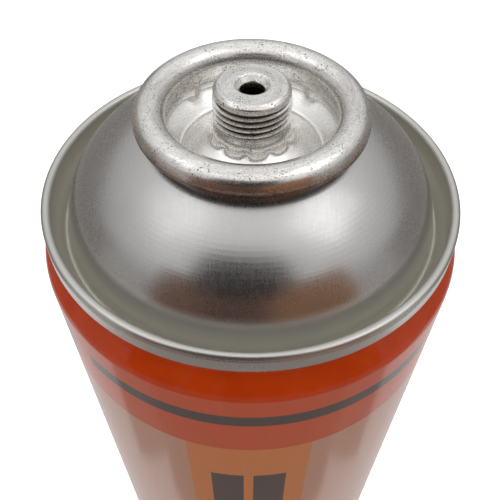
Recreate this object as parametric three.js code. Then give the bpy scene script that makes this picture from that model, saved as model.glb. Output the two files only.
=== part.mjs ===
// A gas canister of the necked-in aerosol pattern: a printed body with a domed top and a
// hollow base seamed to it, and a one-inch valve cup with a threaded pedestal clinched in
// the dome's mouth. Millimetres, +Z up, the axis of revolution is Z and the can stands on Z = 0.

import * as THREE from 'three';

// Driving sizes
const OVERALL_HEIGHT = 265;
const BODY_DIAMETER = 66;
const SEAM_DIAMETER = 63.4;
const MOUTH_DIAMETER = 25.4;
const RIM_DIAMETER = 33;
const THREAD_DIAMETER = 11;
const ORIFICE_DIAMETER = 3.2;

// Sheets, and the clearance that is left between two layers that lie together
const BODY_SHEET = 0.22;
const END_SHEET = 0.28;
const CUP_SHEET = 0.35;
const LAYER_GAP = 0.03;

// Heights above and below the seam's datum, the line where its wall is widest
const CROWN_RISE = 1.05;
const SEAM_DROP = 2.25;
const HOOK_CLEARANCE = 0.12;
const HOOK_END_CLEARANCE = 0.25;
const NECK_START = 2.6;
const NECK_HEIGHT = 5.4;

// Moat and dome. The two arcs' radii are shares of the width between the moat and the neck.
const MOAT_DEPTH = 4.3;
const MOAT_RADIUS = 0.6;
const MOAT_INSET = 0.95;
const SHOULDER_SHARE = 0.994;
const CONE_SHARE = 1.888;
const SHOULDER_STEEP = THREE.MathUtils.degToRad(86);
const SHOULDER_FLAT = THREE.MathUtils.degToRad(42);
const CONE_FLAT = THREE.MathUtils.degToRad(22);
const NECK_FILLET = 1.2;
const NECK_RISE = 0.58;

// Valve cup, with heights measured from the centre of the curl that its rim wraps
const RIM_TUBE = 2.25;
const PEDESTAL_RISE = 4.46;
const WALL_END_DROP = 1.84;
const CLINCH_OUTSET = 0.55;
const CLINCH_DROP = 3.74;
const CLINCH_ROUND = 0.5;
const FLOOR_DROP = 6.24;
const FLOOR_INSET = 2.3;
const FLOOR_ROUND = 0.85;
const FOOT_DROP = 4.14;
const FOOT_FLARE = 0.9;
const FOOT_ROUND = 0.35;
const FOOT_WALL = 2.1;
const FOOT_STEP = 0.25;
const THREAD_START_DROP = 1.04;
const COUNTERSINK_RADIUS = 3.1;
const COUNTERSINK_DEPTH = 0.75;
const ORIFICE_ROUND = 0.15;
const ORIFICE_DEPTH = 0.7;
const TOP_CORNER = 0.7;
const CLINCH_MARKS = 8;
const CLINCH_MARK_DEPTH = 0.35;
const CRIMP_MARKS = 10;
const CRIMP_MARK_DEPTH = 0.35;

// Base panel
const BASE_PANEL_RISE = 5.8;
const BASE_INSET = 1.4;
const BASE_DRAFT = 0.35;
const BASE_CORNER = 0.6;
const BASE_FLAT_SHARE = 0.06;

// Fillings: the can's content, the sealing ring, and the valve with its port and spigot
const FILL_CLEARANCE = 1.2;
const GASKET_SHEET = 0.14;
const INSERT_CLEARANCE = 0.12;
const PORT_INSET = 0.25;
const PORT_DEPTH = 6;
const SPIGOT_RADIUS = 2.2;
const SPIGOT_DROP = 9;
const SPIGOT_END_DROP = 3;
const HOUSING_DROP = 2;
const SEGMENTS = 40;

const BASE_DATUM = CROWN_RISE;
const SEAM_RADIUS = SEAM_DIAMETER / 2;
const CURL_CENTRE = RIM_DIAMETER / 2 - RIM_TUBE;
const DOWN = -Math.PI / 2;

// The layers of a double seam from the outside in, each given by its middle line
const SEAM = {};
SEAM.outer = SEAM_RADIUS - END_SHEET / 2;
SEAM.bodyHook = SEAM.outer - END_SHEET / 2 - LAYER_GAP - BODY_SHEET / 2;
SEAM.endHook = SEAM.bodyHook - BODY_SHEET / 2 - LAYER_GAP - END_SHEET / 2;
SEAM.bodyWall = SEAM.endHook - END_SHEET / 2 - LAYER_GAP - BODY_SHEET / 2;
SEAM.chuckWall = SEAM.bodyWall - BODY_SHEET / 2 - LAYER_GAP - END_SHEET / 2;
const CROWN_RADIUS = (SEAM.outer - SEAM.chuckWall) / 2;
const CROWN_ARC_RISE = CROWN_RISE - END_SHEET / 2 - CROWN_RADIUS * Math.sin(Math.PI / 3);
const BODY_ARC_RISE = CROWN_ARC_RISE - HOOK_CLEARANCE;
const SEAM_TURN_RADIUS = (SEAM.outer - SEAM.endHook) / 2;
const SEAM_TURN_DROP = SEAM_DROP - END_SHEET / 2 - SEAM_TURN_RADIUS;

// The dome's middle line: two arcs that meet at a tangent, a straight cone and the neck's fillet
const DOME = {};
DOME.neck = MOUTH_DIAMETER / 2 + END_SHEET / 2;
DOME.foot = SEAM.chuckWall - MOAT_INSET - 2 * MOAT_RADIUS;
DOME.filletR = DOME.neck + NECK_FILLET;
DOME.coneEndR = DOME.filletR - NECK_FILLET * Math.sin(CONE_FLAT);
DOME.shoulder = SHOULDER_SHARE * (DOME.foot - DOME.coneEndR);
DOME.cone = CONE_SHARE * (DOME.foot - DOME.coneEndR);
DOME.shoulderR = DOME.foot - DOME.shoulder * Math.sin(SHOULDER_STEEP);
DOME.shoulderZ = -MOAT_DEPTH + MOAT_RADIUS - DOME.shoulder * Math.cos(SHOULDER_STEEP);
DOME.coneR = DOME.shoulderR - (DOME.cone - DOME.shoulder) * Math.sin(SHOULDER_FLAT);
DOME.coneZ = DOME.shoulderZ - (DOME.cone - DOME.shoulder) * Math.cos(SHOULDER_FLAT);
DOME.straight = DOME.coneR + DOME.cone * Math.sin(CONE_FLAT) - DOME.coneEndR;
DOME.coneEndZ = DOME.coneZ + DOME.cone * Math.cos(CONE_FLAT) + DOME.straight * Math.tan(CONE_FLAT);
DOME.filletZ = DOME.coneEndZ + NECK_FILLET * Math.cos(CONE_FLAT);

// The curl's centre is the datum of the valve cup, and the whole height sets the seam's datum
const CURL_RISE = DOME.filletZ + NECK_RISE;
const CUP_DATUM = OVERALL_HEIGHT - PEDESTAL_RISE;
const SEAM_DATUM = CUP_DATUM - CURL_RISE;

// Points of an arc about [r, z], from one angle to another
function arc(r, z, radius, from, to, steps) {
  return Array.from({ length: steps + 1 }, (_, i) => {
    const angle = from + ((to - from) * i) / steps;
    return [r + radius * Math.cos(angle), z + radius * Math.sin(angle)];
  });
}

// A path moved sideways by a distance, to the left of its direction
function offset(path, distance) {
  return path.map((point, i) => {
    const before = new THREE.Vector2(...(path[i - 1] ?? point));
    const here = new THREE.Vector2(...point);
    const after = new THREE.Vector2(...(path[i + 1] ?? point));
    const into = here.clone().sub(before).normalize();
    const out = after.clone().sub(here).normalize();
    const along = into.clone().add(out).normalize();
    const turn = i === 0 || i === path.length - 1 ? 1 : along.dot(out);
    return [here.x - (along.y * distance) / turn, here.y + (along.x * distance) / turn];
  });
}

// The closed outline of a sheet that follows a middle line
function sheet(path, thickness) {
  return [...offset(path, thickness / 2), ...offset(path, -thickness / 2).reverse()];
}

// The same path seen in a mirror that lies across the axis, for the base
function mirrored(path) {
  return path.map(([r, z]) => [r, -z]);
}

function raised(path, height) {
  return path.map(([r, z]) => [r, z + height]);
}

// Turns an outline round Z. Dent moves a point of one column, to press marks in a wall.
function revolve(outline, dent = (point) => point) {
  const points = THREE.ShapeUtils.area(outline.map(([x, y]) => ({ x, y }))) > 0
    ? outline : [...outline].reverse();
  const positions = [];
  const rows = points.map((point) => {
    const first = positions.length / 3;
    if (point[0] < 1e-9) {
      positions.push(0, 0, point[1]);
      return () => first;
    }
    for (let column = 0; column < SEGMENTS; column += 1) {
      const [r, z] = dent(point, column);
      const angle = DOWN + (column * 2 * Math.PI) / SEGMENTS;
      positions.push(r * Math.cos(angle), r * Math.sin(angle), z);
    }
    return (column) => first + (column % SEGMENTS);
  });
  const faces = [];
  const onAxis = points.map(([r]) => r < 1e-9);
  points.forEach((_, i) => {
    const next = (i + 1) % points.length;
    if (onAxis[i] && onAxis[next]) return;
    for (let column = 0; column < SEGMENTS; column += 1) {
      const [a, b] = [rows[i](column), rows[i](column + 1)];
      const [c, d] = [rows[next](column + 1), rows[next](column)];
      if (!onAxis[i]) faces.push(a, b, c);
      if (!onAxis[next]) faces.push(a, c, d);
    }
  });
  const geometry = new THREE.BufferGeometry();
  geometry.setAttribute('position', new THREE.Float32BufferAttribute(positions, 3));
  geometry.setIndex(faces);
  geometry.computeVertexNormals();
  return geometry;
}

// The end sheet's part of a double seam, from the tip of its hook to the chuck wall's top
function endSeamPath() {
  return [
    [SEAM.endHook, BODY_ARC_RISE - HOOK_CLEARANCE],
    ...arc(SEAM.outer - SEAM_TURN_RADIUS, -SEAM_TURN_DROP, SEAM_TURN_RADIUS, -Math.PI, 0, 2),
    ...arc(SEAM.outer - CROWN_RADIUS, CROWN_ARC_RISE, CROWN_RADIUS, 0, Math.PI, 3),
  ];
}

// The body's part of it, from the neck's top to the tip of its hook
function bodySeamPath() {
  const turn = (SEAM.bodyHook - SEAM.bodyWall) / 2;
  return [
    ...arc(SEAM.bodyHook - turn, BODY_ARC_RISE, turn, Math.PI, 0, 2),
    [SEAM.bodyHook, -SEAM_TURN_DROP + HOOK_END_CLEARANCE],
  ];
}

// The neck swells from the seam to the full body on a smooth double bend
function neckPath() {
  const steps = 4;
  const full = BODY_DIAMETER / 2 - BODY_SHEET / 2;
  return Array.from({ length: steps + 1 }, (_, i) => {
    const swell = (1 - Math.cos((Math.PI * i) / steps)) / 2;
    return [SEAM.bodyWall + (full - SEAM.bodyWall) * swell, -NECK_START - (NECK_HEIGHT * i) / steps];
  });
}

// The sealed body: its wall stands free at the two seams and is filled between the ends
function canBody() {
  const top = [...neckPath().reverse(), ...bodySeamPath()];
  const bottom = mirrored(top).reverse();
  const fillTop = SEAM_DATUM - NECK_START - NECK_HEIGHT;
  const fillBottom = BASE_DATUM + MOAT_DEPTH + BASE_PANEL_RISE + FILL_CLEARANCE;
  const wall = BODY_DIAMETER / 2 - BODY_SHEET;
  const outside = -BODY_SHEET / 2;
  return revolve([
    [0, fillBottom],
    [wall, fillBottom],
    ...raised(offset(bottom, -outside), BASE_DATUM).reverse(),
    ...raised(offset(bottom, outside), BASE_DATUM),
    ...raised(offset(top, outside), SEAM_DATUM),
    ...raised(offset(top, -outside).slice(1), SEAM_DATUM).reverse(),
    [wall, fillTop],
    [0, fillTop],
  ]);
}

// The top end: seam, moat, shoulder, cone, neck and the curl round the mouth
function domePath() {
  const angles = [SHOULDER_STEEP, SHOULDER_FLAT, CONE_FLAT];
  const [steep, middle, flat] = angles.map((angle) => Math.PI / 2 - angle);
  const curlEnd = THREE.MathUtils.degToRad(-75);
  return [
    ...endSeamPath(),
    [SEAM.chuckWall, -SEAM_DROP],
    ...arc(DOME.foot + MOAT_RADIUS, -MOAT_DEPTH + MOAT_RADIUS, MOAT_RADIUS, 0, -Math.PI, 3),
    ...arc(DOME.shoulderR, DOME.shoulderZ, DOME.shoulder, steep, middle, 4).slice(1),
    ...arc(DOME.coneR, DOME.coneZ, DOME.cone, middle, flat, 2).slice(1),
    ...arc(DOME.filletR, DOME.filletZ, NECK_FILLET, flat - Math.PI, -Math.PI, 2),
    ...arc(CURL_CENTRE, CURL_RISE, CURL_CENTRE - DOME.neck, Math.PI, curlEnd, 6),
  ];
}

// The base: the same seam turned over, and a panel pressed up into the can
function basePath() {
  const edge = SEAM.chuckWall - BASE_INSET;
  const steps = 3;
  const panel = Array.from({ length: steps }, (_, i) => {
    const share = (i + 1) / steps;
    return [edge * (1 - share), -MOAT_DEPTH - BASE_PANEL_RISE * (1 - (1 - share) ** 2)];
  });
  panel.splice(steps - 1, 0, [edge * BASE_FLAT_SHARE, panel[steps - 1][1]]);
  return [
    ...endSeamPath(),
    [SEAM.chuckWall, -SEAM_DROP],
    [SEAM.chuckWall - BASE_DRAFT, -MOAT_DEPTH + BASE_CORNER],
    [edge, -MOAT_DEPTH],
    ...panel,
  ];
}

// The valve cup: rim, wall, clinch, floor and pedestal in one sheet
function cupPath() {
  const half = CUP_SHEET / 2;
  const rim = RIM_TUBE - half;
  const wall = CURL_CENTRE - rim;
  const clinch = MOUTH_DIAMETER / 2 + CLINCH_OUTSET - half;
  const floor = MOUTH_DIAMETER / 2 - FLOOR_INSET;
  const thread = THREAD_DIAMETER / 2 - half;
  const foot = THREAD_DIAMETER / 2 + FOOT_STEP - half;
  const corner = TOP_CORNER - half;
  const top = PEDESTAL_RISE - half;
  const orifice = ORIFICE_DIAMETER / 2 + half;
  return [
    ...arc(CURL_CENTRE, 0, rim, THREE.MathUtils.degToRad(-15), Math.PI, 6),
    [wall, -WALL_END_DROP],
    [clinch - CLINCH_ROUND / 3, -CLINCH_DROP + CLINCH_ROUND],
    [clinch, -CLINCH_DROP],
    [clinch - CLINCH_ROUND, -CLINCH_DROP - CLINCH_ROUND],
    [floor + FLOOR_ROUND, -FLOOR_DROP + FLOOR_ROUND],
    [floor, -FLOOR_DROP - half],
    [foot + FOOT_FLARE, -FOOT_DROP - FOOT_ROUND],
    [foot + FOOT_ROUND / 2, -FOOT_DROP + FOOT_ROUND / 2],
    [foot, -FOOT_DROP + FOOT_FLARE],
    [foot, -FOOT_DROP + FOOT_WALL],
    [thread, -THREAD_START_DROP],
    ...arc(thread - corner, top - corner, corner, 0, Math.PI / 2, 2),
    [COUNTERSINK_RADIUS, top],
    [orifice + ORIFICE_ROUND, top - COUNTERSINK_DEPTH],
    [orifice, top - COUNTERSINK_DEPTH - ORIFICE_DEPTH],
  ];
}

// The clinch tool leaves upright marks in the wall, and the crimp leaves hollows round the foot
function pressMarks([r, z], column) {
  const rise = z - CUP_DATUM;
  const inCup = r > MOUTH_DIAMETER / 2 - FLOOR_INSET;
  const onClinch = inCup && Math.abs(rise + CLINCH_DROP) < CLINCH_ROUND * 1.2;
  const onFoot = !inCup && Math.abs(rise + FOOT_DROP - FOOT_FLARE) < FOOT_ROUND;
  if (onClinch && column % (SEGMENTS / CLINCH_MARKS) === 0) return [r - CLINCH_MARK_DEPTH, z];
  if (onFoot && (column + 1) % (SEGMENTS / CRIMP_MARKS) === 0) return [r - CRIMP_MARK_DEPTH, z];
  return [r, z];
}

// The sealing ring lies in the rim, over the curl
function gasketOutline() {
  const curl = CURL_CENTRE - MOUTH_DIAMETER / 2;
  const middle = (curl + RIM_TUBE - CUP_SHEET) / 2;
  const [from, to] = [25, 165].map(THREE.MathUtils.degToRad);
  return sheet(arc(CURL_CENTRE, 0, middle, from, to, 4), GASKET_SHEET);
}

// The valve's housing fills the pedestal, with the port under the orifice and a spigot below
function insertOutline() {
  const inside = THREAD_DIAMETER / 2 - CUP_SHEET + Math.min(0, FOOT_STEP - CRIMP_MARK_DEPTH);
  const body = inside - INSERT_CLEARANCE;
  const port = ORIFICE_DIAMETER / 2 - PORT_INSET;
  const top = PEDESTAL_RISE - CUP_SHEET - COUNTERSINK_DEPTH - ORIFICE_DEPTH - INSERT_CLEARANCE;
  return [
    [0, -FLOOR_DROP - SPIGOT_DROP],
    [SPIGOT_RADIUS, -FLOOR_DROP - SPIGOT_DROP],
    [SPIGOT_RADIUS, -FLOOR_DROP - SPIGOT_END_DROP],
    [body, -FLOOR_DROP - HOUSING_DROP],
    [body, top],
    [port, top],
    [port, top - PORT_DEPTH],
    [0, top - PORT_DEPTH],
  ];
}

const tinplate = new THREE.MeshStandardMaterial({ color: 0xb4b2ae, metalness: 1, roughness: 0.3 });
const wornSteel = new THREE.MeshStandardMaterial({ color: 0xa39d98, metalness: 1, roughness: 0.35 });
const orangePrint = new THREE.MeshStandardMaterial({ color: 0xb8420c, metalness: 0.2, roughness: 0.3 });
const brass = new THREE.MeshStandardMaterial({ color: 0x9a8450, metalness: 1, roughness: 0.4 });
const blackRubber = new THREE.MeshStandardMaterial({ color: 0x1c1b1a, metalness: 0, roughness: 0.8 });

function piece(name, geometry, material) {
  const mesh = new THREE.Mesh(geometry, material);
  mesh.name = name;
  return mesh;
}

const canister = new THREE.Group();
canister.name = 'gas_canister';
canister.add(
  piece('can_body', canBody(), orangePrint),
  piece('top_dome', revolve(raised(sheet(domePath(), END_SHEET), SEAM_DATUM)), tinplate),
  piece('base_end', revolve(raised(mirrored(sheet(basePath(), END_SHEET)), BASE_DATUM)), tinplate),
  piece('valve_cup', revolve(raised(sheet(cupPath(), CUP_SHEET), CUP_DATUM), pressMarks), wornSteel),
  piece('cup_gasket', revolve(raised(gasketOutline(), CUP_DATUM)), blackRubber),
  piece('valve_insert', revolve(raised(insertOutline(), CUP_DATUM)), brass),
);

export default canister;
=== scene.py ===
"""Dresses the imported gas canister: fine sheet-metal forms, a rolled thread, printed and bare tinplate."""

import logging
import math
from dataclasses import dataclass
from enum import Enum
from typing import Callable, Optional, Union

import bmesh
import bpy
from mathutils import Matrix, Vector

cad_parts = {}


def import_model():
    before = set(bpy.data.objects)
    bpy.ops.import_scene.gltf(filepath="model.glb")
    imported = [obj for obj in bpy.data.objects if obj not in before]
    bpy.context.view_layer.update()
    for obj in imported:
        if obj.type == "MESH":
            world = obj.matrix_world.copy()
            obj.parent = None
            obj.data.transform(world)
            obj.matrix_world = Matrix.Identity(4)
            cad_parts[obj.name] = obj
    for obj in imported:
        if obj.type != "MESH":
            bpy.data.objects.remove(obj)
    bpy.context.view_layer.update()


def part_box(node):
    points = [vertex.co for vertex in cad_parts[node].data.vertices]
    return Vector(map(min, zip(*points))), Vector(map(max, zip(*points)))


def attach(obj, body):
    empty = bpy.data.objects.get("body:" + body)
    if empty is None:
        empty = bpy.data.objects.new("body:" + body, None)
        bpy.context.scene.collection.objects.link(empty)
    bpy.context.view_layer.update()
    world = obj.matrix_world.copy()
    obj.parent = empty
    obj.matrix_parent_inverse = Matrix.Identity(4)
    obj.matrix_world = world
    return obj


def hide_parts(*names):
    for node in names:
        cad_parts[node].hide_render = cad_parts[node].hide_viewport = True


LOG = logging.getLogger("canister")
MM = 0.001
SAME_POINT = 1e-4
CHARCOAL = "#4a4441"
Point = tuple[float, float]
Dent = Callable[[float, float, float], Point]
Material = bpy.types.Material
Socket = bpy.types.NodeSocket
Value = Union[float, tuple, Socket, bpy.types.Node]
Inputs = Union[dict, tuple]


class Slot(Enum):
    """Names of the record's material slots."""

    PRINT = "printed_tinplate"
    TINPLATE = "bare_tinplate"
    WORN = "worn_steel"


@dataclass(frozen=True)
class CanSizes:
    """The sizes that every piece shares, in millimetres, with heights from the base or the seam's datum."""

    body_radius: float
    seam_radius: float
    rim_radius: float
    top: float
    pedestal_rise: float = 18.1
    crown_rise: float = 1.05
    seam_drop: float = 2.25
    neck_start: float = 2.6
    neck_height: float = 5.4
    body_sheet: float = 0.22
    end_sheet: float = 0.28
    cup_sheet: float = 0.35
    layer_gap: float = 0.03
    mouth_radius: float = 12.7
    curl_rise: float = 13.64
    rim_tube: float = 2.25
    moat_depth: float = 4.3
    moat_radius: float = 0.6

    @classmethod
    def from_frame(cls) -> "CanSizes":
        """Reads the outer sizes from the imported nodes.

        Returns:
            The sizes of this canister.
        """
        body, dome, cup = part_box("can_body"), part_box("top_dome"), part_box("valve_cup")
        rim = (cup[1][0] - cup[0][0]) / 2 / MM
        return cls(
            body_radius=(body[1][0] - body[0][0]) / 2 / MM,
            seam_radius=(dome[1][0] - dome[0][0]) / 2 / MM,
            rim_radius=rim,
            top=cup[1][2] / MM,
        )

    @property
    def datum(self) -> float:
        """Height of the top seam's datum above the base."""
        return self.top - self.pedestal_rise

    def layers(self) -> dict[str, float]:
        """Works out the double seam's layers, from the outside in.

        Returns:
            The middle radius of each layer by its name.
        """
        end, body, gap = self.end_sheet, self.body_sheet, self.layer_gap
        outer = self.seam_radius - end / 2
        body_hook = outer - end / 2 - gap - body / 2
        end_hook = body_hook - body / 2 - gap - end / 2
        body_wall = end_hook - end / 2 - gap - body / 2
        chuck = body_wall - body / 2 - gap - end / 2
        names = ("outer", "body_hook", "end_hook", "body_wall", "chuck")
        return dict(zip(names, (outer, body_hook, end_hook, body_wall, chuck)))


def arc(r: float, z: float, radius: float, start: float, end: float, steps: int) -> list[Point]:
    """Points of an arc.

    Args:
        r: Radius of its centre from the can's axis.
        z: Height of its centre.
        radius: The arc's own radius.
        start: First angle in degrees, from the outward direction.
        end: Last angle in degrees.
        steps: Number of segments.

    Returns:
        The points from start to end.
    """
    angles = [math.radians(start + (end - start) * i / steps) for i in range(steps + 1)]
    return [(r + radius * math.cos(a), z + radius * math.sin(a)) for a in angles]


def rounded(points: list[Point], radius: float, steps: int = 4) -> list[Point]:
    """Rounds the inner corners of a path.

    Args:
        points: The path's corners.
        radius: How far along each side a corner's curve begins, at most.
        steps: Segments in each curve.

    Returns:
        The path with its corners as short quadratic curves.
    """
    result = [points[0]]
    for before, corner, after in zip(points, points[1:], points[2:]):
        a, b, c = Vector(before), Vector(corner), Vector(after)
        start = b + (a - b).normalized() * min(radius, (a - b).length / 2)
        end = b + (c - b).normalized() * min(radius, (c - b).length / 2)
        for i in range(steps + 1):
            t = i / steps
            p = start * (1 - t) ** 2 + b * 2 * t * (1 - t) + end * t**2
            result.append((p.x, p.y))
    result.append(points[-1])
    return result


def tidy(path: list[Point]) -> list[Point]:
    """Drops points that repeat the one before them.

    Args:
        path: The path's points.

    Returns:
        The path without its repeats.
    """
    kept = [path[0]]
    for point in path[1:]:
        if math.dist(point, kept[-1]) > SAME_POINT:
            kept.append(point)
    return kept


def offset(path: list[Point], distance: float) -> list[Point]:
    """Moves a path sideways.

    Args:
        path: The points of an open path.
        distance: How far to move, to the left of the path's direction.

    Returns:
        The moved points.
    """
    moved = []
    for i, point in enumerate(path):
        here = Vector(point)
        into = (here - Vector(path[i - 1])).normalized() if i else None
        out = (Vector(path[i + 1]) - here).normalized() if i + 1 < len(path) else None
        along = ((into or out) + (out or into)).normalized()
        turn = along.dot(out or into)
        moved.append((here.x - along.y * distance / turn, here.y + along.x * distance / turn))
    return moved


def sheet(path: list[Point], thickness: float) -> list[Point]:
    """Gives a middle line its thickness.

    Args:
        path: The sheet's middle line.
        thickness: The sheet's thickness.

    Returns:
        The sheet's closed outline.
    """
    path = tidy(path)
    return offset(path, thickness / 2) + offset(path, -thickness / 2)[::-1]


def held(outline: list[Point], reach: float = 0.06) -> list[Point]:
    """Adds points near the ends of a closed outline's long sides, so that they shade flat.

    Args:
        outline: The outline's points.
        reach: Distance of the new points from the ends.

    Returns:
        The outline with the added points.
    """
    result = []
    long_side = 6 * reach
    for start, end in zip(outline, outline[1:] + outline[:1]):
        result.append(start)
        length = math.dist(start, end)
        if length > long_side:
            a, b = Vector(start), Vector(end)
            step = (b - a) * (reach / length)
            result.extend([tuple(a + step), tuple(b - step)])
    return result


def raised(path: list[Point], height: float) -> list[Point]:
    """The path moved up."""
    return [(r, z + height) for r, z in path]


def mirrored(path: list[Point]) -> list[Point]:
    """The path turned upside down."""
    return [(r, -z) for r, z in path]


def revolve(
    name: str, outline: list[Point], columns: int, dent: Optional[Dent] = None
) -> bpy.types.Object:
    """Turns an outline round the can's axis into a closed mesh.

    Args:
        name: The new object's name.
        outline: Radius and height of each point in millimetres, closed by its last point.
        columns: Number of divisions round the axis.
        dent: Moves a point by its angle, to press marks in the wall.

    Returns:
        The object, smooth apart from its true edges.
    """
    outline = held(outline)
    area = sum(a[0] * b[1] - b[0] * a[1] for a, b in zip(outline, outline[1:] + outline[:1]))
    points = outline if area > 0 else outline[::-1]
    vertices: list[Vector] = []
    rows: list[list[int]] = []
    for r, z in points:
        if r < SAME_POINT:
            rows.append([len(vertices)] * (columns + 1))
            vertices.append(Vector((0, 0, z * MM)))
            continue
        first = len(vertices)
        for column in range(columns):
            angle = 2 * math.pi * column / columns
            rr, zz = dent(r, z, angle) if dent else (r, z)
            vertices.append(Vector((rr * math.sin(angle), -rr * math.cos(angle), zz)) * MM)
        rows.append([first + column % columns for column in range(columns + 1)])
    faces = []
    for row, above in zip(rows, rows[1:] + rows[:1]):
        if row[0] == row[1] and above[0] == above[1]:
            continue
        for column in range(columns):
            corners = (row[column], row[column + 1], above[column + 1], above[column])
            faces.append(tuple(dict.fromkeys(corners)))
    mesh = bpy.data.meshes.new(name)
    mesh.from_pydata(vertices, [], faces)
    return finished_object(name, mesh)


def linked(name: str, data: bpy.types.ID) -> bpy.types.Object:
    """Makes an object and puts it in the scene.

    Args:
        name: The object's name.
        data: Its mesh, light or camera.

    Returns:
        The object.
    """
    made = bpy.data.objects.new(name, data)
    bpy.context.scene.collection.objects.link(made)
    return made


def finished_object(name: str, mesh: bpy.types.Mesh, sharp: float = 32.0) -> bpy.types.Object:
    """Makes a mesh an object whose faces are smooth up to an angle.

    Args:
        name: The object's name.
        mesh: Its mesh, with its place in it.
        sharp: Degrees between two faces from which their edge stays sharp.

    Returns:
        The linked object.
    """
    work = bmesh.new()
    work.from_mesh(mesh)
    for face in work.faces:
        face.smooth = True
    for edge in work.edges:
        edge.smooth = edge.calc_face_angle(0.0) < math.radians(sharp)
    work.to_mesh(mesh)
    work.free()
    return linked(name, mesh)


def linear(colour: str) -> tuple[float, float, float, float]:
    """Turns an sRGB hex colour to the linear values that Blender's sockets take."""
    channels = [int(colour[i : i + 2], 16) / 255 for i in (1, 3, 5)]
    return (*[c / 12.92 if c <= 0.04045 else ((c + 0.055) / 1.055) ** 2.4 for c in channels], 1.0)


def feed(node: bpy.types.Node, inputs: Inputs) -> None:
    """Sets or links a node's inputs.

    Args:
        node: The node.
        inputs: What each input gets, by its name or number, or in order: a value, an output socket, or a
            node, which stands for its first output in use.
    """
    for key, value in inputs.items() if isinstance(inputs, dict) else enumerate(inputs):
        if isinstance(value, bpy.types.Node):
            value = next(socket for socket in value.outputs if socket.enabled)
        if isinstance(value, Socket):
            node.id_data.links.new(value, node.inputs[key])
        else:
            node.inputs[key].default_value = value


def add_node(
    tree: bpy.types.NodeTree, kind: str, inputs: Inputs = (), **settings: object
) -> bpy.types.Node:
    """Adds a node with its settings and links.

    Args:
        tree: The tree that gets it.
        kind: The node's type name.
        inputs: What each input gets, as feed takes it.
        **settings: The node's own properties.

    Returns:
        The new node.
    """
    node = tree.nodes.new(kind)
    for key, value in settings.items():
        setattr(node, key, value)
    feed(node, inputs)
    return node


class Shader:
    """A material's tree round one Principled shader, with places in millimetres."""

    def __init__(self, name: str) -> None:
        """Makes an empty material with a Principled shader.

        Args:
            name: The material's name.
        """
        self.material = bpy.data.materials.new(name)
        self.material.use_nodes = True
        self.material.node_tree.nodes.clear()
        self.surface = self.add("BsdfPrincipled")
        self.add("OutputMaterial", {"Surface": self.surface})
        place = self.add("TexCoord").outputs["Object"]
        self.place = self.add("VectorMath", {0: place, "Scale": 1 / MM}, operation="SCALE")

    def add(self, kind: str, inputs: Inputs = (), **settings: object) -> bpy.types.Node:
        """Adds a shader node of a kind to this material."""
        return add_node(self.material.node_tree, "ShaderNode" + kind, inputs, **settings)

    def height(self) -> Socket:
        """Height above the base in millimetres."""
        return self.add("SeparateXYZ", (self.place,)).outputs["Z"]

    def radius(self) -> bpy.types.Node:
        """Distance from the can's axis in millimetres."""
        flat = self.add("VectorMath", (self.place, (1, 1, 0)), operation="MULTIPLY")
        return self.add("VectorMath", (flat,), operation="LENGTH")

    def rings(self, drift: float) -> bpy.types.Node:
        """Puts radius and height in place of X and Y, so that a pattern on them runs round the axis.

        Args:
            drift: Share of the true place that is mixed in, which ends the marks along their way.

        Returns:
            The new vector in millimetres.
        """
        ring = self.add("CombineXYZ", (self.radius(), self.height(), 0.0))
        loose = self.add("VectorMath", (self.place, (drift, drift, drift)), operation="MULTIPLY")
        return self.add("VectorMath", (ring, loose), operation="ADD")

    def layered(self, ground: str, *layers: tuple[Value, str]) -> bpy.types.Node:
        """Lays colours over a ground, one after the other.

        Args:
            ground: The lowest colour.
            *layers: The share of the surface that each layer covers, and its colour.

        Returns:
            The last mix.
        """
        tone = linear(ground)
        for share, colour in layers:
            tone = self.add("Mix", {0: share, 6: tone, 7: linear(colour)}, data_type="RGBA")
        return tone

    def set(self, **inputs: Value) -> None:
        """Sets or links the Principled shader's sockets.

        Args:
            **inputs: A value or an output socket for each, with underscores in place of spaces.
        """
        feed(self.surface, {key.replace("_", " "): value for key, value in inputs.items()})


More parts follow.
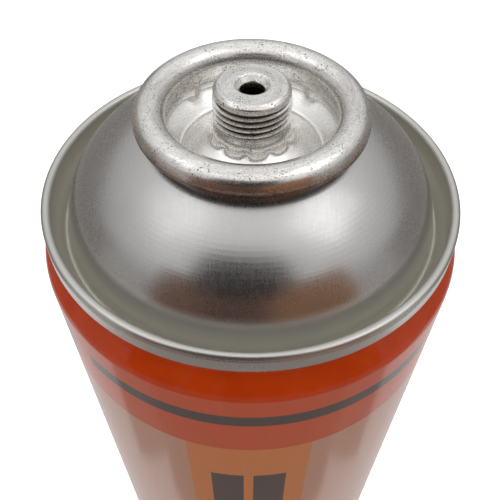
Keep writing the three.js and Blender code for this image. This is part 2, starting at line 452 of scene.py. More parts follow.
@dataclass(frozen=True)
class DrawnTinplate:
    """Bare tin-coated steel sheet, drawn in a press.

    Tin leaves a soft grey mirror. Rolling leaves fine straight lines in it, and handling a few specks.
    Low down in the moat the tin is painted lighter, duller, less metallic and faintly yellow: painted
    light, standing in for light bounced into the moat. Real rolling lines are finer than the render can
    show, so they are drawn 0.3 mm apart.
    """

    datum: float
    name: str = "drawn_tinplate"
    colour: str = "#bbbab9"
    cloudy: str = "#b3b2b1"
    # Painted light: the moat's lighter, yellower tone stands in for light bounced into it.
    moat: str = "#cfccc1"
    speck: str = "#5d5650"
    moat_edge: float = 31.2
    moat_floor: float = -1.5
    moat_brim: float = 2.5
    moat_dulling: float = 0.14
    moat_bloom: float = 0.5
    roughness: float = 0.27
    line_spacing: float = 0.30
    line_depth: float = 0.002
    speck_size: float = 0.45
    cloud_size: float = 10.0

    def material(self) -> Material:
        """Builds the finish.

        Returns:
            The finished material.
        """
        s = Shader(self.name)
        fine = 1 / self.line_spacing
        along = s.add("VectorMath", (s.place, (1.0, 0.03, 0.3)), operation="MULTIPLY")
        across = s.add("VectorMath", (s.place, (0.05, 1.0, 0.4)), operation="MULTIPLY")
        lines = s.add("TexNoise", {"Vector": along, "Scale": fine, "Detail": 2.0})
        cross = s.add("TexNoise", {"Vector": across, "Scale": fine, "Detail": 2.0})
        cloud = s.add("TexNoise", {"Vector": s.place, "Scale": 1 / self.cloud_size, "Detail": 3.0})
        dots = s.add("TexNoise", {"Vector": s.place, "Scale": 1 / self.speck_size, "Detail": 1.0})
        weaker = s.add("Math", (cross, 0.7), operation="MULTIPLY")
        grain = s.add("Math", (lines, weaker), operation="ADD")
        dark = s.add("MapRange", (dots, 0.82, 0.86))
        some = s.add("MapRange", (cloud, 0.5, 0.6, 0.0, 0.4))
        specks = s.add("Math", (dark, some), operation="MULTIPLY")
        # The moat's mask: here the tin is painted lighter, yellower and less metallic, as painted bounced
        # light.
        floor, brim = self.datum + self.moat_floor, self.datum + self.moat_brim
        deep = s.add("MapRange", (s.height(), floor, brim, 1.0, 0.0))
        inside = s.add("MapRange", (s.radius(), self.moat_edge, self.moat_edge + 0.3, 0.9, 0.2))
        low = s.add("Math", (deep, inside), operation="MULTIPLY")
        cloudy = s.add("MapRange", (cloud, 0.3, 0.7))
        duller = s.add("Math", (low, self.moat_dulling), operation="MULTIPLY")
        rough = s.add("Math", (duller, self.roughness), operation="ADD")
        by_grain = s.add("MapRange", (grain, 0.6, 1.1, -0.02, 0.03))
        by_cloud = s.add("MapRange", (cloud, 0.3, 0.7, -0.02, 0.03))
        uneven = s.add("Math", (by_grain, by_cloud), operation="ADD")
        s.set(
            Base_Color=s.layered(
                self.colour, (cloudy, self.cloudy), (low, self.moat), (specks, self.speck)
            ),
            Metallic=s.add("Math", (low, -self.moat_bloom, 1.0), operation="MULTIPLY_ADD"),
            Roughness=s.add("Math", (uneven, rough), operation="ADD"),
            Normal=s.add("Bump", {"Height": grain, "Strength": 0.022, "Distance": self.line_depth * MM}),
        )
        return s.material


@dataclass(frozen=True)
class WornTinplate:
    """Tinplate that is rolled, turned and handled bare.

    Its turning lines run round the axis. Dark pits and grit cover the rim. Below the curl, the rim's
    outside is
    brown: partly worn steel and partly painted shade under the curl. The roots of the thread are painted
    dark brown as painted shade in the recesses. The cup's floor is painted lighter and less metallic, a
    painted highlight where light falls on it. Zones are pairs of a bottom and a top, or of an inner and an
    outer radius.
    """

    sizes: CanSizes
    name: str = "worn_tinplate"
    colour: str = "#edebe8"
    dull: str = "#ccc8c4"
    # Brown under the rim's curl: partly worn steel, partly painted shade under the curl.
    patina_and_shade: str = "#a08d83"
    worn: str = "#98928e"
    # Painted highlight on the cup's floor.
    floor: str = "#f6f4f1"
    # Painted shade in the thread's roots.
    root: str = "#6a5a50"
    pit: str = "#37302d"
    roughness: float = 0.24
    line_spacing: float = 0.20
    pit_size: float = 0.24
    grit_size: float = 0.13
    cloud_per_mm: float = 0.45
    streak_per_mm: float = 0.9
    root_shade_radius: float = 5.24
    relief_depth: float = 0.004
    rim_zone: Point = (-4.0, -2.0)
    patina_and_shade_zone: Point = (0.1, 1.5)
    skirt_radii: Point = (13.6, 14.4)
    thread_middle: float = 15.0
    thread_half: float = 2.25
    floor_highlight_zone: Point = (9.5, 11.0)
    floor_highlight_radii: Point = (6.0, 6.8)

    def material(self) -> Material:
        """Builds the finish.

        Returns:
            The finished material.
        """
        s = Shader(self.name)
        datum, curl = self.sizes.datum, self.sizes.datum + self.sizes.curl_rise
        height, radius = s.height(), s.radius()
        turned = s.add("TexNoise", {"Vector": s.rings(0.25), "Scale": 1 / self.line_spacing, "Detail": 3.0})
        speck = s.add("TexNoise", {"Vector": s.place, "Scale": 1 / self.pit_size, "Detail": 4.0})
        grit = s.add("TexNoise", {"Vector": s.place, "Scale": 1 / self.grit_size, "Detail": 2.0})
        cloud = s.add("TexNoise", {"Vector": s.place, "Scale": self.cloud_per_mm, "Detail": 4.0})
        streak = s.add("TexNoise", {"Vector": s.rings(0.12), "Scale": self.streak_per_mm, "Detail": 3.0})
        on_rim = s.add("MapRange", (height, curl + self.rim_zone[0], curl + self.rim_zone[1], 0.2, 1.0))
        # Below the curl, on the skirt: brown that is partly worn steel and partly painted shade under the
        # rim.
        below = s.add("MapRange", (height, curl + self.patina_and_shade_zone[1], curl + self.patina_and_shade_zone[0]))
        skirt = s.add("MapRange", (radius, *self.skirt_radii))
        under_rim_patina_and_shade = s.add("Math", (below, skirt), operation="MULTIPLY")
        # The cup's floor is painted lighter and less metallic: a painted highlight where light falls on it.
        flat = s.add("MapRange", (height, datum + self.floor_highlight_zone[1], datum + self.floor_highlight_zone[0]))
        clear = s.add("MapRange", (radius, *self.floor_highlight_radii))
        floor_highlight = s.add("Math", (flat, clear), operation="MULTIPLY")
        # The thread's roots are painted dark brown: painted shade in the recesses between the turns.
        middle = datum + self.thread_middle
        in_thread = s.add("Math", (height, middle, self.thread_half), operation="COMPARE")
        deep = s.add("MapRange", (radius, self.root_shade_radius, self.root_shade_radius - 0.2, 0.0, 0.9))
        root = s.add("Math", (deep, in_thread), operation="MULTIPLY")
        dark = s.add("MapRange", (speck, 0.54, 0.66))
        some = s.add("MapRange", (cloud, 0.40, 0.6, 0.15, 1.0))
        specks = s.add("Math", (dark, some), operation="MULTIPLY")
        pits = s.add("Math", (specks, on_rim), operation="MULTIPLY")
        cloudy = s.add("MapRange", (cloud, 0.25, 0.6, 0.75, 1.0))
        layers = []
        for marks, low, high, most, colour in (
            (turned, 0.38, 0.66, 0.5, self.dull),
            (streak, 0.50, 0.70, 0.35, self.worn),
            (grit, 0.45, 0.75, 0.45, self.worn),
        ):
            shown = s.add("MapRange", (marks, low, high, 0.0, most))
            layers.append((s.add("Math", (shown, on_rim), operation="MULTIPLY"), colour))
        layers += [
            (s.add("Math", (under_rim_patina_and_shade, cloudy), operation="MULTIPLY"), self.patina_and_shade),
            (floor_highlight, self.floor),
            (s.add("Math", (pits, 0.75), operation="MULTIPLY"), self.pit),
            (root, self.root),
        ]
        rolled = s.add("Math", (grit, 0.5, turned), operation="MULTIPLY_ADD")
        pitted = s.add("Math", (rolled, pits), operation="SUBTRACT")
        relief = s.add("Math", (pitted, on_rim), operation="MULTIPLY")
        by_line = s.add("MapRange", (turned, 0.3, 0.7, -0.04, 0.08))
        uneven = s.add("Math", (pits, 0.3, by_line), operation="MULTIPLY_ADD")
        s.set(
            Base_Color=s.layered(self.colour, *layers),
            Metallic=s.add("Math", (floor_highlight, -0.35, 1.0), operation="MULTIPLY_ADD"),
            Roughness=s.add("Math", (uneven, self.roughness), operation="ADD"),
            Normal=s.add("Bump", {"Height": relief, "Strength": 0.2, "Distance": self.relief_depth * MM}),
        )
        return s.material


@dataclass(frozen=True)
class InkField:
    """A rectangle of one ink on the unrolled print.

    Angles are in degrees from the front towards +X, and heights in millimetres from the seam's datum.
    """

    ink: str
    left: float
    right: float
    low: float
    high: float


@dataclass(frozen=True)
class PrintedTinplate:
    """Litho ink under clear baked varnish on tinplate: a deep glossy colour with a soft sheen over it.

    The fields lie over the ground in order. The speckle stands for the print's screen, which is finer than
    the render can show.
    """

    datum: float
    name: str = "printed_tinplate"
    ground: str = "#b63802"
    shade: str = "#a22c02"
    faded: str = "#d8c8b8"
    margin: str = "#b9b4ab"
    fields: tuple[InkField, ...] = (
        InkField("#b24f32", -180.0, 180.0, -23.4, -7.9),
        InkField("#ac806b", -180.0, 180.0, -215.0, -23.4),
        InkField("#b97042", -17.0, 17.0, -215.0, -23.4),
        InkField(CHARCOAL, -45.0, 52.0, -15.0, -12.2),
        InkField(CHARCOAL, -66.0, -53.5, -19.5, -9.6),
        InkField(CHARCOAL, -10.8, -1.4, -56.0, -34.0),
        InkField(CHARCOAL, 1.4, 10.8, -56.0, -34.0),
        InkField("#b23402", -180.0, 180.0, -239.0, -215.0),
        InkField(CHARCOAL, -180.0, 180.0, -211.5, -209.5),
        InkField("#bd9480", -156.0, -64.0, -196.0, -52.0),
        InkField("#bd9480", 64.0, 156.0, -196.0, -52.0),
        InkField(CHARCOAL, -156.0, -64.0, -47.0, -45.5),
        InkField(CHARCOAL, 64.0, 156.0, -47.0, -45.5),
        InkField("#b97042", -156.0, -140.0, -44.0, -30.0),
        InkField("#b97042", 64.0, 80.0, -44.0, -30.0),
    )
    weld_half_width: float = 1.3
    speckle_size: float = 0.35
    ripple_depth: float = 0.006

    def material(self) -> Material:
        """Builds the finish.

        Returns:
            The finished material.
        """
        s = Shader(self.name)
        parts = s.add("SeparateXYZ", (s.place,)).outputs
        behind = s.add("Math", (parts["Y"], -1.0), operation="MULTIPLY")
        turn = s.add("Math", (parts["X"], behind), operation="ARCTAN2")
        angle = s.add("Math", (turn,), operation="DEGREES")
        rise = s.add("Math", (parts["Z"], self.datum), operation="SUBTRACT")
        cloud = s.add("TexNoise", {"Vector": s.place, "Scale": 0.2, "Detail": 4.0})
        layers = [(s.add("MapRange", (cloud, 0.35, 0.7, 0.0, 0.5)), self.shade)]
        for field in self.fields:
            middle, half = (field.left + field.right) / 2, (field.right - field.left) / 2
            centre, reach = (field.low + field.high) / 2, (field.high - field.low) / 2
            across = s.add("Math", (angle, middle, half), operation="COMPARE")
            upright = s.add("Math", (rise, centre, reach), operation="COMPARE")
            layers.append((s.add("Math", (across, upright), operation="MULTIPLY"), field.ink))
        speckle = s.add("TexNoise", {"Vector": s.place, "Scale": 1 / self.speckle_size, "Detail": 2.0})
        upwards = s.add("VectorMath", (s.place, (1.0, 1.0, 0.12)), operation="MULTIPLY")
        rubbed = s.add("TexNoise", {"Vector": upwards, "Scale": 0.5, "Detail": 4.0})
        ripple = s.add("TexNoise", {"Vector": s.place, "Scale": 0.9, "Detail": 2.0})
        from_front = s.add("Math", (angle,), operation="ABSOLUTE")
        bare = s.add("Math", (from_front, 180 - self.weld_half_width), operation="GREATER_THAN")
        layers += [
            (s.add("MapRange", (speckle, 0.4, 0.75, 0.0, 0.10)), self.shade),
            (s.add("MapRange", (rubbed, 0.55, 0.80, 0.0, 0.02)), self.faded),
            (bare, self.margin),
        ]
        s.set(
            Base_Color=s.layered(self.ground, *layers),
            Roughness=0.5,
            Specular_IOR_Level=0.0,
            Coat_Weight=0.65,
            Coat_Roughness=0.12,
            Coat_IOR=1.5,
            Normal=s.add("Bump", {"Height": ripple, "Strength": 0.2, "Distance": self.ripple_depth * MM}),
        )
        return s.material


@dataclass(frozen=True)
class PlainFinish:
    """A hidden piece's finish: moulded rubber, or turned brass."""

    name: str
    colour: str
    metallic: float
    roughness: float

    def material(self) -> Material:
        """Builds the finish.

        Returns:
            The finished material.
        """
        s = Shader(self.name)
        turned = s.add("TexNoise", {"Vector": s.rings(0.02), "Scale": 4.0, "Detail": 2.0})
        low, high = self.roughness - 0.08, self.roughness + 0.08
        s.set(
            Base_Color=linear(self.colour),
            Metallic=self.metallic,
            Roughness=s.add("MapRange", (turned, 0.3, 0.7, low, high)),
            Normal=s.add("Bump", {"Height": turned, "Strength": 0.3, "Distance": 0.01 * MM}),
        )
        return s.material


def hand_over(piece: bpy.types.Object, material: Material, slot: Slot, *nodes: str) -> None:
    """Dresses a finished piece and ties it to the frame.

    Args:
        piece: The piece.
        material: Its finish.
        slot: Not used.
        *nodes: The CAD nodes that it stands for.
    """
    piece.data.materials.clear()
    piece.data.materials.append(material)
    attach(piece, "root")
    if nodes:
        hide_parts(*nodes)
    LOG.info("%s: %d faces", piece.name, len(piece.data.polygons))


@dataclass
class DoubleSeam:
    """The seam that folds an end's edge and the body's edge into each other, with its datum at nought."""

    sizes: CanSizes
    groove_rise: float = 0.30
    groove_depth: float = 0.13

    def crown_centre(self) -> tuple[float, float, float]:
        """Finds the crown's arc.

        Returns:
            The radius and height of its centre, and its own radius.
        """
        rows = self.sizes.layers()
        own = (rows["outer"] - rows["chuck"]) / 2
        return rows["outer"] - own, self.sizes.crown_rise - self.sizes.end_sheet / 2 - own, own

    def end_path(self) -> list[Point]:
        """The end sheet's middle line, from its hook's tip to the top of the chuck wall.

        Returns:
            The line's points.
        """
        rows = self.sizes.layers()
        crown_r, crown_z, own = self.crown_centre()
        turn = (rows["outer"] - rows["end_hook"]) / 2
        bottom = -(self.sizes.seam_drop - self.sizes.end_sheet / 2 - turn)
        wall = rows["outer"]
        return [
            (rows["end_hook"], crown_z - 0.2),
            *arc(wall - turn, bottom, turn, -180, 0, 10),
            (wall, self.groove_rise - 0.45),
            (wall - self.groove_depth * 0.3, self.groove_rise - 0.22),
            (wall - self.groove_depth, self.groove_rise),
            (wall - self.groove_depth * 0.75, self.groove_rise + 0.12),
            *arc(crown_r, crown_z, own, 28, 180, 14),
        ]

    def body_path(self) -> list[Point]:
        """The middle line of the body's edge, from the neck's top to its hook's tip.

        Returns:
            The line's points.
        """
        rows = self.sizes.layers()
        turn = (rows["body_hook"] - rows["body_wall"]) / 2
        _, crown_z, _ = self.crown_centre()
        return [
            *arc(rows["body_hook"] - turn, crown_z - 0.1, turn, 180, 0, 6),
            (rows["body_hook"], -1.4),
        ]


@dataclass
class CanBody:
    """The welded and printed tube, necked in at both ends and sealed."""

    sizes: CanSizes
    columns: int = 256
    neck_steps: int = 20
    fill_start: float = 1.0

    def neck_path(self) -> list[Point]:
        """The sheet's middle line down the neck's double bend, from the seam to the full body.

        Returns:
            The line's points.
        """
        sizes = self.sizes
        start = sizes.layers()["body_wall"]
        full = sizes.body_radius - sizes.body_sheet / 2
        path = []
        for i in range(self.neck_steps + 1):
            swell = (1 - math.cos(math.pi * i / self.neck_steps)) / 2
            z = -sizes.neck_start - sizes.neck_height * i / self.neck_steps
            path.append((start + (full - start) * swell, z))
        return path

    def build(self, finish: Material) -> None:
        """Makes the tube's outer skin and its filled inside as one closed mesh.

        Args:
            finish: The printed finish.
        """
        sizes = self.sizes
        half = sizes.body_sheet / 2
        top = tidy(self.neck_path()[::-1] + DoubleSeam(sizes).body_path())
        bottom = mirrored(top)[::-1]
        inner = sizes.body_radius - sizes.body_sheet
        fill_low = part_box("base_end")[1][2] / MM + self.fill_start
        fill_high = sizes.datum - sizes.neck_start - sizes.neck_height
        outline = [
            (0.0, fill_low),
            (inner, fill_low),
            *raised(offset(bottom, half), sizes.crown_rise)[::-1],
            *raised(offset(bottom, -half), sizes.crown_rise),
            *raised(offset(top, -half), sizes.datum),
            *raised(offset(top, half)[1:], sizes.datum)[::-1],
            (inner, fill_high),
            (0.0, fill_high),
        ]
        hand_over(revolve("printed_body", outline, self.columns), finish, Slot.PRINT, "can_body")


@dataclass
class TopDome:
    """The drawn top end: seam, moat, shoulder, cone, and the curl round the mouth."""

    sizes: CanSizes
    columns: int = 224
    shoulder_radius: float = 14.75
    cone_radius: float = 27.9
    steep: float = 86.0
    middle: float = 42.0
    flat: float = 22.0
    fillet: float = 1.2
    moat_inset: float = 0.95

    def path(self) -> list[Point]:
        """The sheet's middle line from the seam's hook to the curl's end, with the datum at nought.

        Returns:
            The line's points.
        """
        sizes = self.sizes
        half = sizes.end_sheet / 2
        shoulder, cone = self.shoulder_radius - half, self.cone_radius - half
        neck = sizes.mouth_radius + half
        chuck = sizes.layers()["chuck"]
        curl_r = sizes.rim_radius - sizes.rim_tube
        moat = sizes.moat_radius
        foot = chuck - self.moat_inset - 2 * moat
        steep, middle, flat = (math.radians(a) for a in (self.steep, self.middle, self.flat))
        shoulder_r = foot - shoulder * math.sin(steep)
        shoulder_z = -sizes.moat_depth + moat - shoulder * math.cos(steep)
        cone_r = shoulder_r - (cone - shoulder) * math.sin(middle)
        cone_z = shoulder_z - (cone - shoulder) * math.cos(middle)
        fillet_r = neck + self.fillet
        start_r = fillet_r - self.fillet * math.sin(flat)
        end_r, end_z = cone_r + cone * math.sin(flat), cone_z + cone * math.cos(flat)
        start_z = end_z + (end_r - start_r) * math.tan(flat)
        fillet_z = start_z + self.fillet * math.cos(flat)
        moat_top = (foot + 2 * moat, -sizes.moat_depth + moat)
        return [
            *DoubleSeam(sizes).end_path(),
            *rounded([(chuck, -1.2), (chuck, -sizes.seam_drop), moat_top], 0.7),
            *arc(foot + moat, -sizes.moat_depth + moat, moat, 0, -180, 12),
            *arc(shoulder_r, shoulder_z, shoulder, 90 - self.steep, 90 - self.middle, 22),
            *arc(cone_r, cone_z, cone, 90 - self.middle, 90 - self.flat, 14),
            *arc(fillet_r, fillet_z, self.fillet, -90 - self.flat, -180, 8),
            *arc(curl_r, sizes.curl_rise, curl_r - neck, 180, -75, 26),
        ]

    def build(self, finish: Material) -> None:
        """Makes the dome.

        Args:
            finish: The bare tinplate.
        """
        outline = raised(sheet(self.path(), self.sizes.end_sheet), self.sizes.datum)
        hand_over(revolve("drawn_dome", outline, self.columns), finish, Slot.TINPLATE, "top_dome")


@dataclass
class BaseEnd:
    """The pressed base, hollow underneath, with the lower seam."""

    sizes: CanSizes
    columns: int = 192
    panel_rise: float = 5.8
    panel_steps: int = 24
    edge_inset: float = 1.4

    def build(self, finish: Material) -> None:
        """Makes the base.

        Args:
            finish: The bare tinplate.
        """
        sizes = self.sizes
        chuck = sizes.layers()["chuck"]
        edge = chuck - self.edge_inset
        deep = -sizes.moat_depth
        panel = []
        for i in range(self.panel_steps):
            share = 1 - i / self.panel_steps
            panel.append((edge * share, deep - self.panel_rise * (1 - share**2)))
        path = [
            *DoubleSeam(sizes).end_path(),
            *rounded([(chuck, -1.2), (chuck - 0.35, deep + 0.6), (edge, deep), panel[1]], 0.8),
            *panel[2:],
            (0.0, panel[-1][1]),
        ]
        outline = raised(mirrored(sheet(path, sizes.end_sheet)), sizes.crown_rise)
        closed = [(max(r, 0.0), z) for r, z in outline]
        hand_over(revolve("pressed_base", closed, self.columns), finish, Slot.TINPLATE, "base_end")


@dataclass
class ValveCup:
    """The valve cup: rim, clinched wall, floor and pedestal in one sheet, with a rolled thread."""

    sizes: CanSizes
    columns: int = 256
    clinch_radius: float = 13.25
    clinch_rise: float = 9.9
    floor_rise: float = 7.4
    floor_radius: float = 10.4
    foot_rise: float = 9.5
    foot_radius: float = 5.75
    thread_radius: float = 5.46
    thread_pitch: float = 0.907
    thread_depth: float = 0.46
    thread_start: float = 12.75
    thread_turns: float = 4.25
    collar_radius: float = 5.32
    countersink: float = 2.5
    orifice: float = 1.5
    clinch_marks: int = 8
    crimp_marks: int = 10
    crimp_phase: float = -9.0
    clinch_mark: tuple[float, float, float] = (0.42, 4.5, 0.8)
    crimp_mark: tuple[float, float, float] = (0.55, 8.0, 0.6)
    ridge_foot: float = 0.92
    ridge_crest: float = 0.26
    ridge_bite: float = 0.02
    ridge_taper: float = 14.0
    ridge_steps: int = 96

    def path(self) -> list[Point]:
        """The sheet's middle line from the rim's skirt to the outlet.

        Returns:
            The line's points.
        """
        sizes = self.sizes
        half = sizes.cup_sheet / 2
        rim = sizes.rim_tube - half
        centre = sizes.rim_radius - sizes.rim_tube
        wall = centre - rim
        clinch = self.clinch_radius - half
        core = self.thread_radius - self.thread_depth - half
        foot = self.foot_radius - half
        top = sizes.pedestal_rise - half
        wall_path = rounded(
            [
                (wall, sizes.curl_rise - 0.3),
                (wall, self.clinch_rise + 1.9),
                (clinch - 0.15, self.clinch_rise + 0.55),
                (clinch, self.clinch_rise),
                (clinch - 0.35, self.clinch_rise - 0.5),
                (self.floor_radius + 0.95, self.floor_rise + 0.75),
                (self.floor_radius, self.floor_rise - half),
                (foot + 0.9, self.foot_rise - 0.35),
                (foot + 0.15, self.foot_rise + 0.15),
                (foot, self.foot_rise + 0.9),
                (foot, self.foot_rise + 2.1),
                (core + 0.25, self.thread_start - 0.4),
                (core, self.thread_start + 0.2),
                (core, top - 1.3),
            ],
            0.5,
            5,
        )
        collar = self.collar_radius - half
        return [
            *arc(centre, sizes.curl_rise, rim, -15, 180, 34),
            *wall_path,
            *rounded(
                [
                    (core, top - 1.12),
                    (collar, top - 1.0),
                    (collar, top - 0.42),
                    (collar - 0.45, top),
                    (self.countersink, top),
                    (self.orifice + half + 0.15, top - 0.75),
                    (self.orifice + half, top - 1.45),
                ],
                0.12,
                4,
            ),
        ]

    def dent(self, r: float, z: float, angle: float) -> Point:
        """Presses the clinch's and the crimp's marks into the sheet.

        A mark is given by its depth in millimetres, half its width in degrees and half its height.

        Args:
            r: A point's radius in millimetres.
            z: Its height.
            angle: Its angle from the front, in radians.

        Returns:
            The point's new radius and height.
        """
        rise = z - self.sizes.datum
        degrees = math.degrees(angle)
        if r > self.floor_radius and 8.0 < rise < 12.2:
            step, phase = 360 / self.clinch_marks, 0.0
            middle, (depth, width, height) = self.clinch_rise, self.clinch_mark
        elif r < self.foot_radius + 0.5 and rise < 12.6:
            step, phase = 360 / self.crimp_marks, self.crimp_phase
            middle, (depth, width, height) = self.foot_rise + 0.95, self.crimp_mark
        else:
            return r, z
        away = (degrees - phase + step / 2) % step - step / 2
        along = math.exp(-((away / width) ** 2))
        return r - depth * along * math.exp(-(((rise - middle) / height) ** 2)), z

    def build(self, finish: Material) -> None:
        """Makes the cup and its thread.

        Args:
            finish: The worn tinplate.
        """
        outline = raised(sheet(self.path(), self.sizes.cup_sheet), self.sizes.datum)
        cup = revolve("clinched_cup", outline, self.columns, self.dent)
        hand_over(cup, finish, Slot.WORN, "valve_cup")
        hand_over(self.rolled_thread(finish), finish, Slot.WORN)

    def rolled_thread(self, finish: Material) -> bpy.types.Object:
        """Sweeps the thread's ridge along its helix with Geometry Nodes.

        Args:
            finish: The worn tinplate.

        Returns:
            The ridge as a plain mesh.
        """
        tree = bpy.data.node_groups.new("thread_ridge", "GeometryNodeTree")
        tree.interface.new_socket("Geometry", in_out="OUTPUT", socket_type="NodeSocketGeometry")
        lengths = {
            "Core Radius": (self.thread_radius - self.thread_depth - self.ridge_bite) * MM,
            "Pitch": self.thread_pitch * MM,
            "Start Height": (self.sizes.datum + self.thread_start) * MM,
            "Depth": (self.thread_depth + self.ridge_bite) * MM,
            "Turns": self.thread_turns,
        }
        sockets = {}
        for name, value in lengths.items():
            socket = tree.interface.new_socket(name, in_out="INPUT", socket_type="NodeSocketFloat")
            socket.default_value = value
            sockets[name] = socket
        given = add_node(tree, "NodeGroupInput").outputs

        rise = add_node(tree, "ShaderNodeMath", (given["Turns"], given["Pitch"]), operation="MULTIPLY")
        spiral_inputs = {
            "Resolution": self.ridge_steps,
            "Rotations": given["Turns"],
            "Start Radius": given["Core Radius"],
            "End Radius": given["Core Radius"],
            "Height": rise,
            "Reverse": True,
        }
        helix = add_node(tree, "GeometryNodeCurveSpiral", spiral_inputs)
        factor = add_node(tree, "GeometryNodeSplineParameter").outputs["Factor"]
        rest = add_node(tree, "ShaderNodeMath", (1.0, factor), operation="SUBTRACT")
        nearer = add_node(tree, "ShaderNodeMath", (factor, rest), operation="MINIMUM")
        ends = add_node(tree, "ShaderNodeMath", (nearer, self.ridge_taper), operation="MULTIPLY")
        grown = add_node(tree, "ShaderNodeMath", (ends, 0.02), operation="ADD")
        swell = add_node(tree, "ShaderNodeMath", (1.0, grown), operation="MINIMUM")
        upright = add_node(tree, "GeometryNodeSetCurveNormal", {"Curve": helix.outputs[0]}, mode="Z_UP")
        ridge = {"Offset": 0.0}
        for side, length, share in (
            ("Bottom Width", "Pitch", self.ridge_foot),
            ("Top Width", "Pitch", self.ridge_crest),
            ("Height", "Depth", 2.0),
        ):
            ridge[side] = add_node(tree, "ShaderNodeMath", (given[length], share), operation="MULTIPLY")
        profile = add_node(tree, "GeometryNodeCurvePrimitiveQuadrilateral", ridge, mode="TRAPEZOID")
        turn = {"Geometry": profile.outputs[0], "Rotation": (0.0, 0.0, math.radians(-90))}
        turned = add_node(tree, "GeometryNodeTransform", turn)
        sweep = {
            "Curve": upright.outputs[0],
            "Profile Curve": turned.outputs[0],
            "Scale": swell,
            "Fill Caps": True,
        }
        swept = add_node(tree, "GeometryNodeCurveToMesh", sweep)
        lift = add_node(tree, "ShaderNodeCombineXYZ", {"Z": given["Start Height"]})
        move = {"Geometry": swept.outputs[0], "Translation": lift.outputs[0]}
        placed = add_node(tree, "GeometryNodeTransform", move)
        real = add_node(tree, "GeometryNodeRealizeInstances", {0: placed.outputs[0]})
        dressed = add_node(tree, "GeometryNodeSetMaterial", {0: real.outputs[0], "Material": finish})
        add_node(tree, "NodeGroupOutput", {0: dressed.outputs[0]})
        return baked("pedestal_thread", tree, {sockets[n].identifier: v for n, v in lengths.items()})


def baked(name: str, tree: bpy.types.NodeTree, values: dict[str, float]) -> bpy.types.Object:
    """Runs a Geometry Nodes tree and keeps its result as a plain mesh.

    Args:
        name: The new piece's name.
        tree: The tree.
        values: The value of each input, by the socket's identifier.

    Returns:
        The piece, with outward faces.
    """
    carrier = linked(name + "_maker", bpy.data.meshes.new(name + "_maker"))
    modifier = carrier.modifiers.new("nodes", "NODES")
    modifier.node_group = tree
    for identifier, value in values.items():
        modifier[identifier] = value
    depsgraph = bpy.context.evaluated_depsgraph_get()
    mesh = bpy.data.meshes.new_from_object(carrier.evaluated_get(depsgraph))
    bpy.data.objects.remove(carrier)
    work = bmesh.new()
    work.from_mesh(mesh)
    bmesh.ops.remove_doubles(work, verts=work.verts, dist=SAME_POINT * MM)
    bmesh.ops.recalc_face_normals(work, faces=work.faces)
    work.to_mesh(mesh)
    work.free()
    return finished_object(name, mesh, 40.0)


@dataclass(frozen=True)
class Flag:
    """A studio card that the metal mirrors, placed by the directions that it fills from the dome.

    Azimuths are in degrees from the front towards +X, and elevations above the horizon.
    """

    name: str
    colour: str
    left: float
    right: float
    low: float
    high: float
    distance: float


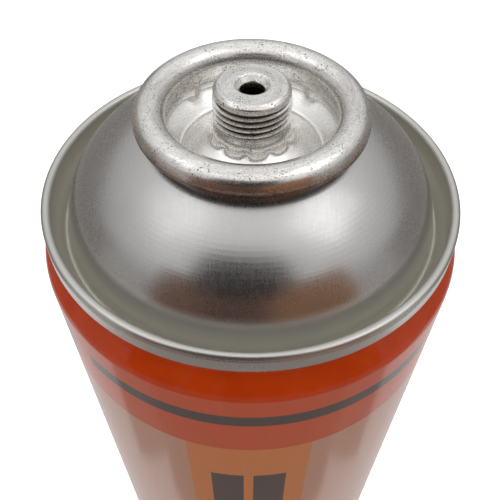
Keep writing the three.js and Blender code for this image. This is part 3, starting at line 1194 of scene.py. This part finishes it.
@dataclass
class Studio:
    """A white table and room, soft lamps, cards for the metal to mirror, and the photograph's camera."""

    sizes: CanSizes
    camera_back: float = 68.87
    camera_rise: float = 65.47
    pitch: float = 50.05
    yaw: float = 0.733
    roll: float = 1.11
    focal_pixels: float = 608.6
    frame_pixels: float = 500.0
    centre_pixel: Point = (255.73, 252.93)
    sensor: float = 36.0
    overhead: float = 1.1
    horizon: float = 0.36
    ramp_top: float = 0.87
    mirrored_white: float = 0.3
    table_glow: float = 0.62
    table_half: float = 2.0
    lamp_width: float = 0.5
    flags_back: float = 18.0
    flags: tuple[Flag, ...] = (
        Flag("dark_flag", "#3f3838", -42.0, 32.0, 20.0, 54.0, 100.0),
        Flag("brown_flag", "#74594f", -28.0, 14.0, -20.0, 24.0, 94.0),
        Flag("left_warm_flag", "#946f5c", -56.0, -26.0, -20.0, 32.0, 98.0),
        Flag("right_warm_flag", "#b88a68", 12.0, 60.0, -20.0, 32.0, 96.0),
        Flag("low_flag", "#b9b4b0", -62.0, 62.0, -70.0, -8.0, 210.0),
        Flag("left_low_flag", "#d2cdc9", -88.0, -60.0, -66.0, 6.0, 214.0),
        Flag("right_low_flag", "#d2cdc9", 60.0, 88.0, -66.0, 6.0, 214.0),
        Flag("left_back_flag", "#b0aba7", -160.0, -84.0, -26.0, 12.0, 226.0),
        Flag("right_back_flag", "#b0aba7", 84.0, 160.0, -26.0, 12.0, 226.0),
    )

    def build(self) -> None:
        """Makes everything that isn't the object."""
        self.table()
        self.room()
        self.lamp("left_lamp", -84, 56, 0.45)
        self.lamp("right_lamp", 84, 56, 0.75)
        for flag in self.flags:
            self.flag(flag)
        self.camera()

    def quad(self, name: str, corners: list[Vector], shader: Shader) -> bpy.types.Object:
        """Adds a flat card to the scene as part of its stage.

        Args:
            name: The card's name.
            corners: Its four corners in metres.
            shader: Its material's shader.

        Returns:
            The card.
        """
        mesh = bpy.data.meshes.new(name)
        mesh.from_pydata(corners, [], [(0, 1, 2, 3)])
        mesh.materials.append(shader.material)
        card = linked(name, mesh)
        return card

    def table(self) -> None:
        """A wide white table. It glows for the camera, and less for the metal, and keeps the shadow."""
        s = Shader("white_table")
        path = s.add("LightPath").outputs
        part = s.add("Math", (path["Is Glossy Ray"], self.mirrored_white), operation="MULTIPLY")
        seen = s.add("Math", (path["Is Camera Ray"], part), operation="MAXIMUM")
        s.set(
            Base_Color=(0.8, 0.8, 0.8, 1.0),
            Roughness=0.8,
            Specular_IOR_Level=0.0,
            Emission_Color=(1.0, 1.0, 1.0, 1.0),
            Emission_Strength=s.add("Math", (seen, self.table_glow), operation="MULTIPLY"),
        )
        half = self.table_half
        corners = [Vector((x * half, y * half, 0)) for x, y in ((-1, -1), (1, -1), (1, 1), (-1, 1))]
        self.quad("table", corners, s)

    def room(self) -> None:
        """A pale room, brighter overhead, that the camera sees as white."""
        world = bpy.data.worlds.new("room")
        bpy.context.scene.world = world
        world.use_nodes = True
        tree = world.node_tree
        tree.nodes.clear()
        way = add_node(tree, "ShaderNodeTexCoord").outputs["Generated"]
        up = add_node(tree, "ShaderNodeSeparateXYZ", {0: way}).outputs["Z"]
        climb = {0: up, 1: 0.0, 2: self.ramp_top, 3: self.horizon, 4: self.overhead}
        ramp = add_node(tree, "ShaderNodeMapRange", climb)
        seen = add_node(tree, "ShaderNodeLightPath").outputs["Is Camera Ray"]
        strength = add_node(tree, "ShaderNodeMath", {0: ramp.outputs[0], 1: seen}, operation="MAXIMUM")
        white = {"Color": (1.0, 1.0, 1.0, 1.0), "Strength": strength.outputs[0]}
        background = add_node(tree, "ShaderNodeBackground", white)
        add_node(tree, "ShaderNodeOutputWorld", {"Surface": background.outputs[0]})

    def away(self, azimuth: float, elevation: float) -> Vector:
        """Finds the direction from the can towards a place in the room.

        Args:
            azimuth: Degrees from the front towards +X.
            elevation: Degrees above the horizon.

        Returns:
            The direction, one unit long.
        """
        a, e = math.radians(azimuth), math.radians(elevation)
        return Vector((math.sin(a) * math.cos(e), -math.cos(a) * math.cos(e), math.sin(e)))

    def lamp(self, name: str, azimuth: float, elevation: float, power: float) -> None:
        """A soft square lamp, half a metre wide and a metre from the canister's top.

        Args:
            name: The lamp's name.
            azimuth: Degrees from the front towards +X.
            elevation: Degrees above the horizon.
            power: Its power in watts.
        """
        data = bpy.data.lights.new(name, "AREA")
        data.size, data.energy = self.lamp_width, power
        lamp = linked(name, data)
        away = self.away(azimuth, elevation)
        lamp.location = Vector((0, 0, self.sizes.top * MM)) + away
        lamp.rotation_euler = away.to_track_quat("Z", "Y").to_euler()

    def flag(self, flag: Flag) -> None:
        """Hangs one flag round the dome. Only the gloss mirrors it, so it takes no light from the print.

        Args:
            flag: The flag.
        """
        s = Shader(flag.name)
        s.set(Base_Color=linear(flag.colour), Roughness=0.8, Specular_IOR_Level=0.0)
        centre = Vector((0, -self.flags_back, self.sizes.datum))
        left, right, low, high = flag.left, flag.right, flag.low, flag.high
        ways = ((left, low), (right, low), (right, high), (left, high))
        corners = [(centre + self.away(*way) * flag.distance) * MM for way in ways]
        card = self.quad(flag.name, corners, s)
        card.visible_camera = card.visible_diffuse = card.visible_shadow = False

    def camera(self) -> None:
        """The photograph's camera, from a fit to the outlines in it."""
        data = bpy.data.cameras.new("camera")
        camera = linked("camera", data)
        bpy.context.scene.camera = camera
        data.sensor_width = self.sensor
        data.lens = self.focal_pixels / self.frame_pixels * self.sensor
        half = self.frame_pixels / 2
        data.shift_x = (half - self.centre_pixel[0]) / self.frame_pixels
        data.shift_y = (self.centre_pixel[1] - half) / self.frame_pixels
        data.clip_start, data.clip_end = 0.004, 20.0
        pitch, yaw, roll = (math.radians(a) for a in (self.pitch, self.yaw, self.roll))
        level = math.cos(pitch)
        look = Vector((math.sin(yaw) * level, math.cos(yaw) * level, -math.sin(pitch)))
        right = look.cross(Vector((0, 0, 1))).normalized()
        up = right.cross(look)
        right_rolled = right * math.cos(roll) + up * math.sin(roll)
        up_rolled = up * math.cos(roll) - right * math.sin(roll)
        turn = Matrix((right_rolled, up_rolled, -look)).transposed().to_4x4()
        turn.translation = Vector((0, -self.camera_back, self.sizes.datum + self.camera_rise)) * MM
        camera.matrix_world = turn


def dress_kept_nodes() -> None:
    """Gives the hidden CAD nodes their finishes."""
    for node, finish in (
        ("cup_gasket", PlainFinish("gasket_rubber", "#1d1c1b", 0.0, 0.6)),
        ("valve_insert", PlainFinish("valve_brass", "#3a3226", 1.0, 0.45)),
    ):
        mesh = bpy.data.objects[node].data
        mesh.materials.clear()
        mesh.materials.append(finish.material())
        LOG.info("%s: kept from the frame", node)


def main() -> None:
    """Builds the canister and its studio."""
    logging.basicConfig(level=logging.INFO, format="%(name)s %(message)s")
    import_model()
    sizes = CanSizes.from_frame()
    tinplate = DrawnTinplate(datum=sizes.datum).material()
    worn = WornTinplate(sizes).material()
    CanBody(sizes).build(PrintedTinplate(datum=sizes.datum).material())
    TopDome(sizes).build(tinplate)
    BaseEnd(sizes).build(tinplate)
    ValveCup(sizes).build(worn)
    dress_kept_nodes()
    Studio(sizes).build()
    bpy.context.scene.view_settings.view_transform = "Standard"


if __name__ == "__main__":
    main()
